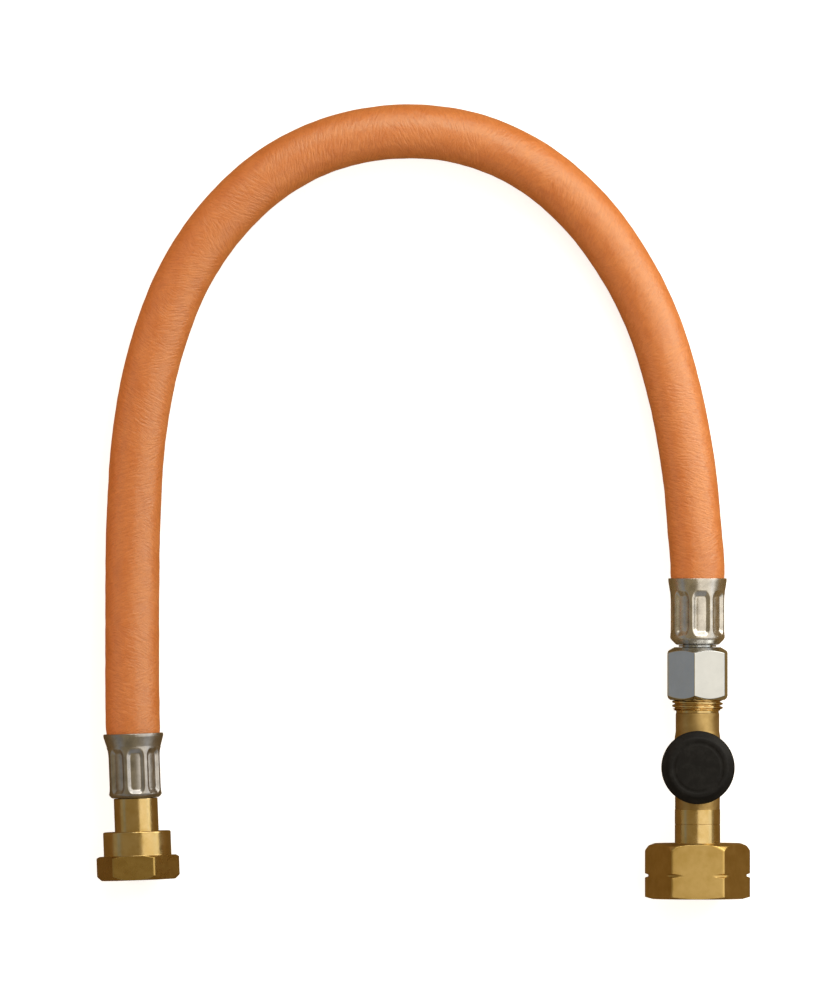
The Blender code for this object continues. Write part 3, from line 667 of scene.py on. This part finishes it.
def soft_waves(place, seed, length, count=14):
    """Smooth random height between about -1 and 1, from a sum of waves of about one length."""
    chance = np.random.default_rng(seed)
    height = np.zeros(place.shape[:-1])
    for _ in range(count):
        direction = chance.normal(size=3)
        direction *= 2.0 * math.pi / (length * chance.uniform(0.7, 1.5) * np.linalg.norm(direction))
        height += np.sin(place @ direction + chance.uniform(0.0, 2.0 * math.pi))
    return height / math.sqrt(count)


def hose_route():
    """The free hose's route, with its ends carried into the ferrules."""
    inside = HOSE_IN_FERRULE * MM
    first = VALVE @ Vector((0.0, 0.0, inside))
    last = REGULATOR @ Vector((0.0, 0.0, inside))
    return [first] + HOSE_ROUTE + [last]


def make_hose():
    centres = smooth_route(hose_route(), HOSE_RING_SPACING)
    tangents = np.gradient(centres, axis=0)
    tangents /= np.linalg.norm(tangents, axis=1, keepdims=True)
    side = np.cross(tangents, (0.0, 0.0, 1.0))
    side /= np.linalg.norm(side, axis=1, keepdims=True)
    upward = np.cross(side, tangents)
    travelled = np.arange(len(centres)) * HOSE_RING_SPACING
    angles = even_angles(HOSE_COLUMNS)
    straight = np.stack([
        np.repeat(travelled[:, None], HOSE_COLUMNS, 1),
        np.repeat(HOSE_RADIUS * MM * np.cos(angles)[None], len(centres), 0),
        np.repeat(HOSE_RADIUS * MM * np.sin(angles)[None], len(centres), 0),
    ], -1)
    skin_marks = 0.028 * soft_waves(straight, 3, 0.0035) + 0.03 * soft_waves(straight, 4, 0.018)
    to_end = np.minimum(travelled, travelled[-1] - travelled)[:, None] / MM - HOSE_IN_FERRULE
    squeeze = -0.12 * np.clip(1.0 - to_end / 1.5, 0.0, 1.0)
    radii = (HOSE_RADIUS - 0.03 + skin_marks + squeeze)[..., None] * MM
    around = np.cos(angles)[None, :, None] * side[:, None] + np.sin(angles)[None, :, None] * upward[:, None]
    rings = centres[:, None] + radii * around
    hose = skin("orange_hose", rings, Matrix.Identity(4), HOSE_RUBBER, closed=False)
    attribute = hose.data.attributes.new("straight", "FLOAT_VECTOR", "POINT")
    attribute.data.foreach_set("vector", straight.reshape(-1, 3).astype(np.float32).ravel())
    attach(hose, "root")
    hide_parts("hose")


# ---------------------------------------------------------------- ferrules and stems


def jaw_relief(spec):
    """Relief pressed into a ferrule by crimping jaws: flat floors with sloping walls."""
    middle = (spec["start"] + spec["end"]) / 2.0
    half_length = (spec["end"] - spec["start"]) / 2.0

    def relief(station, radii, angles):
        pitch = 2.0 * math.pi / JAW_COUNT
        offset = (angles - math.radians(spec["turn"]) + pitch / 2.0) % pitch - pitch / 2.0
        across = np.maximum(np.abs(offset) * spec["body"] - JAW_HALF_WIDTH + JAW_CORNER, 0.0)
        along = max(abs(station - middle) - half_length + JAW_CORNER, 0.0)
        outside_floor = np.hypot(across, 0.62 * along) - JAW_CORNER
        die = spec["pressed"] + smooth_maximum(0.0, JAW_SLOPE * outside_floor, 0.05)
        on_outside = radii > spec["pressed"] - 0.3
        return np.where(on_outside, smooth_minimum(radii, die, 0.06), radii)
    return relief


def make_ferrule(side, place):
    spec = FERRULE[side]
    length = span(place, "ferrule_" + side)[1]
    rim, body = spec["rim"], spec["body"]
    corners = [
        (0.0, FERRULE_MOUTH_BORE, 0.15),
        (0.0, rim, 0.35),
        (1.0, rim - 0.03, 1.0),
        (4.3, body + 0.1, 1.8),
        (spec["start"] + 2.0, body, 1.5),
        (length - spec["curl"], body, 1.6),
        (length, body - spec["curl"], 1.0),
        (length, FERRULE_END_HOLE, 0.15),
        (length - FERRULE_END_WALL, FERRULE_END_HOLE, 0.1),
        (length - FERRULE_END_WALL, FERRULE_BORE, 0.1),
        (FERRULE_MOUTH_DEPTH, FERRULE_BORE, 0.1),
        (FERRULE_MOUTH_DEPTH, FERRULE_MOUTH_BORE, 0.1),
    ]
    outline = refined(rounded(corners, steps=6), -0.1, length + 0.1, 0.2)
    angles = even_angles(FERRULE_COLUMNS)
    relief = jaw_relief(spec)
    shell = turned("crimped_ferrule_" + side, outline, place, FERRULE_STEEL[side], angles, relief)
    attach(shell, "root")
    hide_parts("ferrule_" + side)


def make_hose_tail(side, place):
    """Hose end squeezed between the ferrule and the stem, behind the mouth."""
    start = HOSE_IN_FERRULE + GAP
    end = span(place, "hose_tail_" + side)[1]
    add_turned("hose_end_" + side, [
        (start, 3.75), (start, FERRULE_BORE - 0.05), (end, FERRULE_BORE - 0.05), (end, 3.75),
    ], place, HOSE_RUBBER, "root", "hose_tail_" + side)


def add_turned(name, corners, place, material, body, node, fillet=0.2):
    """Plain turned piece that stands for one CAD node."""
    piece = turned(name, rounded(corners, fillet), place, material)
    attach(piece, body)
    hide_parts(node)


def make_stem_left():
    neck = span(REGULATOR, "ferrule_left")[1] + 0.1
    head = span(REGULATOR, "regulator_nut")[0] + NUT_BACK_WALL + GAP
    end = span(REGULATOR, "stem_left")[1]
    head_radius = REGULATOR_THREAD["crest"] - 0.4
    add_turned("left_stem", [
        (STEM_START, STEM_BORE), (STEM_START, STEM_BARREL), (neck - 1.6, STEM_BARREL),
        (neck - 1.6, STEM_WAIST), (neck, STEM_WAIST),
        (neck, REGULATOR_NECK, 0.35), (head, REGULATOR_NECK), (head, head_radius), (end, head_radius, 0.4),
        (end, STEM_BORE + 1.2), (end - 1.5, STEM_BORE),
    ], REGULATOR, TURNED_BRASS, "root", "stem_left")


def make_stem_right():
    nut = span(VALVE, "union_nut")[0]
    end = span(VALVE, "stem_right")[1]
    head = nut + NUT_BACK_WALL + GAP
    wall = span(VALVE, "ferrule_right")[1]
    add_turned("right_stem", [
        (STEM_START, STEM_BORE), (STEM_START, STEM_BARREL), (wall - FERRULE_END_WALL, STEM_BARREL),
        (wall - FERRULE_END_WALL, STEM_WAIST), (wall + 0.1, STEM_WAIST), (wall + 0.1, STEM_SHOULDER),
        (nut - 0.55, STEM_SHOULDER), (nut - 0.55, STEM_WAIST), (head, STEM_WAIST),
        (head, 7.0), (end, 7.0, 0.4), (end, STEM_BORE + 1.0), (end - 1.5, STEM_BORE),
    ], VALVE, PLATED_STEEL, "root", "stem_right")


# ---------------------------------------------------------------- nuts


def make_regulator_nut():
    start, end = span(REGULATOR, "regulator_nut")
    collar_end = start + REGULATOR_COLLAR_LENGTH
    flat, corner = REGULATOR_FLATS / 2.0, hexagon_corner(REGULATOR_FLATS)
    back = start + NUT_BACK_WALL
    thread = REGULATOR_THREAD
    thread_start = back + REGULATOR_UNDERCUT
    corners = [
        (start, REGULATOR_NECK + GAP, 0.15),
        (start, REGULATOR_COLLAR, 0.55),
        (collar_end, REGULATOR_COLLAR, 0.25),
        (collar_end, flat + 0.6, 0.2),
        (collar_end + 0.8, corner + 0.3, 0.3),
        (end - 1.8, corner + 0.3, 0.3),
        (end, flat + 0.1, 0.3),
        (end, thread["crest"] + 0.6, 0.1),
        (end - 0.6, thread["crest"], 0.05),
        (thread_start, thread["crest"], 0.05),
        (thread_start, thread["crest"] + 0.45, 0.1),
        (back, thread["crest"] + 0.45, 0.1),
        (back, REGULATOR_NECK + GAP, 0.1),
    ]
    outline = refined(rounded(corners), collar_end - 0.1, end + 0.1, 0.12)
    bore = inner_thread(thread, thread_start, end - 0.3, 1)
    relief = hexagon_relief(REGULATOR_FLATS, REGULATOR_TURN, bore, REGULATOR_EDGE_WEAR)
    angles = hexagon_angles(REGULATOR_TURN)
    # The hexagon takes the darker brass with painted shade; the collar takes turned brass.
    nut = turned("regulator_swivel_nut", outline, REGULATOR, SHADED_HEX_BRASS, angles, relief)
    nut.data.materials.append(TURNED_BRASS)
    for polygon in nut.data.polygons:
        polygon.material_index = int(polygon.center.z < collar_end * MM)
    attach(nut, "regulator_nut")
    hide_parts("regulator_nut")


def make_union_nut():
    start, end = span(VALVE, "union_nut")
    flat, corner = UNION_FLATS / 2.0, hexagon_corner(UNION_FLATS)
    bore = UNION_THREAD["crest"] + 0.35
    corners = [
        (start - 0.4, STEM_WAIST + GAP, 0.1),
        (start - 0.4, flat - 1.9, 0.4),
        (start + 1.7, corner + 0.3, 0.2),
        (end - 1.7, corner + 0.3, 0.2),
        (end, flat - 0.6, 0.2),
        (end, bore, 0.05),
        (start + NUT_BACK_WALL, bore, 0.1),
        (start + NUT_BACK_WALL, STEM_WAIST + GAP, 0.1),
    ]
    outline = refined(rounded(corners), start - 0.5, end + 0.1, 0.12)
    angles = hexagon_angles(UNION_TURN)
    relief = hexagon_relief(UNION_FLATS, UNION_TURN)
    nut = turned("plated_union_nut", outline, VALVE, PLATED_STEEL, angles, relief)
    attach(nut, "root")
    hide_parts("union_nut")


def make_cylinder_nut():
    start, end = span(VALVE, "cylinder_nut")
    flat, corner = CYLINDER_FLATS / 2.0, hexagon_corner(CYLINDER_FLATS)
    back = start + NUT_BACK_WALL
    notch = start + NOTCH_OFFSET
    thread = CYLINDER_THREAD
    thread_start = back + CYLINDER_UNDERCUT
    corners = [
        (start, SPIGOT_RADIUS + GAP, 0.15),
        (start, flat - 0.9, 0.8),
        (start + 0.8, flat + 1.1, 1.2),
        (start + 3.0, corner + 0.35, 1.0),
        (notch - NOTCH_HALF_MOUTH, corner + 0.35, 0.05),
        (notch - NOTCH_HALF_FLOOR, NOTCH_FLOOR, 0.15),
        (notch + NOTCH_HALF_FLOOR, NOTCH_FLOOR, 0.15),
        (notch + NOTCH_HALF_MOUTH, corner + 0.35, 0.05),
        (end - 0.8, corner + 0.35, 0.3),
        (end, flat - 0.15, 0.3),
        (end, thread["crest"] + 1.2, 0.15),
        (end - 1.2, thread["crest"], 0.05),
        (thread_start, thread["crest"], 0.05),
        (thread_start, thread["crest"] + 0.75, 0.1),
        (back, thread["crest"] + 0.75, 0.2),
        (back, SPIGOT_RADIUS + GAP, 0.1),
    ]
    outline = refined(rounded(corners), start - 0.1, end + 0.1, 0.13)
    relief = hexagon_relief(CYLINDER_FLATS, 0.0, inner_thread(thread, thread_start, end - 0.6, -1))
    nut = turned("cylinder_swivel_nut", outline, VALVE, MILLED_BRASS, hexagon_angles(0.0), relief)
    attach(nut, "cylinder_nut")
    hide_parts("cylinder_nut")


# ---------------------------------------------------------------- valve body


def make_valve_thread():
    """Left-hand male thread that the union nut sits on."""
    start = span(VALVE, "valve_body")[0]
    end = start + BODY_THREAD_LENGTH
    spec = UNION_THREAD

    def relief(station, radii, angles):
        run_out = np.clip((end - 0.7 - station) / 0.5, 0.0, 1.0)
        fade = run_out * np.clip((station - start - 0.2) / 0.8, 0.0, 1.0)
        on_thread = radii > spec["crest"] - 0.02
        valley = spec["depth"] * (1.0 - thread_wave(station, angles, spec["pitch"], -1))
        return np.where(on_thread, radii - np.maximum(valley, spec["depth"] * (1.0 - fade)), radii)

    corners = [
        (start, 3.5, 0.1),
        (start, spec["crest"] - spec["depth"], 0.1),
        (start + 0.3, spec["crest"], 0.02),
        (end - 0.6, spec["crest"], 0.02),
        (end - 0.5, BODY_TUBE - 0.35, 0.1),
        (end + 0.8, BODY_TUBE - 0.35, 0.1),
        (end + 0.8, 3.5, 0.1),
    ]
    outline = refined(rounded(corners, steps=2), start, end, 0.1)
    thread = turned("valve_male_thread", outline, VALVE, TURNED_BRASS, even_angles(THREAD_COLUMNS), relief)
    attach(thread, "root")
    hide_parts("valve_body")


def make_valve_band():
    """Machined band next to the spigot's seam."""
    end = span(VALVE, "valve_body")[1]
    start = end - BODY_BAND_LENGTH
    add_turned("valve_band", [
        (start, 6.2, 0.05),
        (start, BODY_BAND, 0.05),
        (end, BODY_BAND, 0.1),
        (end, 6.2, 0.1),
    ], VALVE, TURNED_BRASS, "root", "valve_body")


def joined(target, other, operation):
    """Boolean of two helper objects; the second one is removed."""
    modifier = target.modifiers.new("join", "BOOLEAN")
    modifier.operation = operation
    modifier.object = other
    evaluated = target.evaluated_get(bpy.context.evaluated_depsgraph_get())
    mesh = bpy.data.meshes.new_from_object(evaluated)
    target.modifiers.clear()
    target.data = mesh
    bpy.data.objects.remove(other)


def make_valve_forging():
    """Forged middle of the body: a tube with the button's boss blended into it."""
    first, last = span(VALVE, "valve_body")
    start = first + BODY_THREAD_LENGTH + 0.12
    end = last - BODY_BAND_LENGTH + 0.8
    boss_top = (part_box("valve_body")[1].z - VALVE.translation.z) / MM
    boss_start = (VALVE.translation.y - BUTTON.translation.y) / MM - BOSS_RADIUS
    tube = turned("valve_forging", rounded([
        (start, 0.0), (start, BODY_TUBE - 0.2, 0.25), (boss_start - 2.2, BODY_TUBE - 0.2, 1.0),
        (boss_start, BODY_TUBE + 0.15, 1.0), (end, BODY_TUBE, 0.0), (end, 0.0),
    ]), VALVE, FORGED_BRASS)
    boss = turned("boss", rounded([
        (-4.5, 0.0), (-4.5, 5.4, 0.5), (-1.0, BOSS_RADIUS, 1.5),
        (boss_top, BOSS_RADIUS, 0.5), (boss_top, 0.0),
    ]), BUTTON, FORGED_BRASS)
    bore = turned("bore", [
        (start - 1.0, 0.0), (start - 1.0, BODY_BORE), (end + 1.0, BODY_BORE), (end + 1.0, 0.0),
    ], VALVE, FORGED_BRASS)
    pocket = turned("pocket", [
        (0.0, 0.0), (0.0, PIN_HOLE_RADIUS), (POCKET_FLOOR, PIN_HOLE_RADIUS), (POCKET_FLOOR, POCKET_RADIUS),
        (boss_top + 1.0, POCKET_RADIUS), (boss_top + 1.0, 0.0),
    ], BUTTON, FORGED_BRASS)
    bpy.context.view_layer.update()
    joined(tube, boss, "UNION")
    joined(tube, bore, "DIFFERENCE")
    joined(tube, pocket, "DIFFERENCE")
    remesh = tube.modifiers.new("even", "REMESH")
    remesh.mode = "VOXEL"
    remesh.voxel_size = FORGING_VOXEL * MM
    remesh.use_smooth_shade = True
    mesh = bpy.data.meshes.new_from_object(tube.evaluated_get(bpy.context.evaluated_depsgraph_get()))
    tube.modifiers.clear()
    tube.data = mesh
    blend_boss(mesh)
    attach(tube, "root")
    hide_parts("valve_body")


def ease(shape, vertices):
    """One pass that moves each vertex halfway towards the middle of its neighbours."""
    bmesh.ops.smooth_vert(
        shape, verts=vertices, factor=0.5, use_axis_x=True, use_axis_y=True, use_axis_z=True
    )


def blend_boss(mesh):
    """Rounds the inner corner between the tube and the boss, and eases the voxel steps."""
    to_button = BUTTON.inverted() @ VALVE
    shape = bmesh.new()
    shape.from_mesh(mesh)
    ease(shape, shape.verts)
    corner = []
    for vertex in shape.verts:
        local = to_button @ vertex.co / MM
        from_boss = math.hypot(local.x, local.y) - BOSS_RADIUS
        from_tube = math.hypot(local.x, local.z) - BODY_TUBE
        if BLEND_INSIDE < from_boss < BLEND_OUTSIDE and BLEND_INSIDE < from_tube < BLEND_OUTSIDE:
            corner.append(vertex)
    for _ in range(BLEND_PASSES):
        ease(shape, corner)
    shape.to_mesh(mesh)
    shape.free()
    mesh.shade_smooth()
    mesh.materials.clear()
    mesh.materials.append(FORGED_BRASS)


# ---------------------------------------------------------------- cylinder end and seals


def make_spigot():
    first, last = span(VALVE, "inlet_spigot")
    seam = span(VALVE, "valve_body")[1] + 0.14
    head = span(VALVE, "cylinder_nut")[0] + NUT_BACK_WALL + GAP
    nose = last - 2.4
    add_turned("brass_spigot", [
        (first, 2.5), (first, 5.9), (first + 2.1, 5.9, 0.05), (first + 2.1, 4.55, 0.05),
        (first + 4.1, 4.55, 0.05), (first + 4.1, 5.9, 0.05), (seam - 0.12, 5.9),
        (seam - 0.12, SPIGOT_RADIUS - 0.15, 0.02), (seam, SPIGOT_RADIUS - 0.15, 0.02),
        (seam, SPIGOT_RADIUS, 0.1),
        (head, SPIGOT_RADIUS), (head, 9.2, 0.3), (nose, 9.2, 0.3), (nose, 5.6, 0.15), (last, 5.6, 0.35),
        (last, 4.2, 0.15), (last - 5.0, 4.2, 0.1), (last - 5.0, 2.5, 0.1),
    ], VALVE, TURNED_BRASS, "root", "inlet_spigot")


def make_washers():
    for name, place, node, inner, outer in (
        ("regulator_washer", REGULATOR, "regulator_seal", 4.3, 8.6),
        ("cylinder_washer", VALVE, "cylinder_seal", 5.9, 9.2),
    ):
        start, end = span(place, node)
        add_turned(name, [
            (start, inner), (start, outer), (end, outer), (end, outer - 0.9, 0.3),
            (end - 0.25, outer - 1.3, 0.3), (end - 0.25, inner + 1.0, 0.3),
            (end, inner + 0.7, 0.3), (end, inner),
        ], place, BLACK_RUBBER, "root", node, 0.3)


def make_filter():
    start, end = span(VALVE, "inlet_filter")
    add_turned("filter_disc", [
        (start, 0.6), (start, 3.9), (end - 0.5, 3.9), (end, 3.2, 0.8), (end + 0.1, 0.6),
    ], VALVE, SINTERED_BRONZE, "root", "inlet_filter", 0.15)


# ---------------------------------------------------------------- push button


def make_push_cap():
    """Round cap with a soft edge, a shallow ring on its top and a hub inside."""
    base = VALVE.translation.z
    bottom, top = (cap_low.z - base) / MM, (cap_high.z - base) / MM
    pin_top = (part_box("button_stem")[1].z - base) / MM
    corners = [
        (pin_top + GAP, 0.0),
        (pin_top + GAP, 2.1, 0.1),
        (bottom + 3.8, 2.1, 0.1),
        (bottom + 3.8, 3.4, 0.2),
        (bottom + 6.0, 3.4, 0.3),
        (bottom + 6.0, 10.2, 0.5),
        (bottom, 10.2, 0.2),
        (bottom, CAP_RADIUS, 0.35),
        (top - 1.9, CAP_RADIUS, 1.2),
        (top, CAP_RADIUS - 2.3, 1.6),
        (top, 8.7, 0.5),
        (top - 0.12, 8.2, 0.2),
        (top - 0.12, 7.7, 0.2),
        (top, 7.2, 0.6),
        (top, 0.0),
    ]
    outline = refined(rounded(corners, steps=8), top - 2.0, top + 0.1, 0.6)
    cap = turned("push_cap", outline, BUTTON, BLACK_PLASTIC, even_angles(CAP_COLUMNS))
    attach(cap, "button")
    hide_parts("button_cap")


# ---------------------------------------------------------------- pieces kept from the CAD model


KEPT_FINISHES = {
    "union_seal": BLACK_RUBBER,
    "valve_seat": TURNED_BRASS,
    "poppet": TURNED_BRASS,
    "poppet_seal": BLACK_RUBBER,
    "poppet_spring": SPRING_STEEL,
    "poppet_guide": TURNED_BRASS,
    "spigot_o_ring": BLACK_RUBBER,
    "button_stem": SPRING_STEEL,
    "button_circlip": SPRING_STEEL,
    "button_gland": TURNED_BRASS,
    "button_o_ring": BLACK_RUBBER,
    "button_spring": SPRING_STEEL,
}


def finish_kept_nodes():
    for node, material in KEPT_FINISHES.items():
        for slot in frame["nodes"][node].material_slots:
            slot.material = material


# ---------------------------------------------------------------- scene


make_camera()
make_lights()
make_world()
make_floor()
for side, place in (("left", REGULATOR), ("right", VALVE)):
    make_ferrule(side, place)
    make_hose_tail(side, place)
make_stem_left()
make_stem_right()
make_regulator_nut()
make_union_nut()
make_cylinder_nut()
make_valve_thread()
make_valve_band()
make_valve_forging()
make_spigot()
make_washers()
make_hose()
make_filter()
make_push_cap()
finish_kept_nodes()

bpy.context.scene.view_settings.view_transform = "Standard"
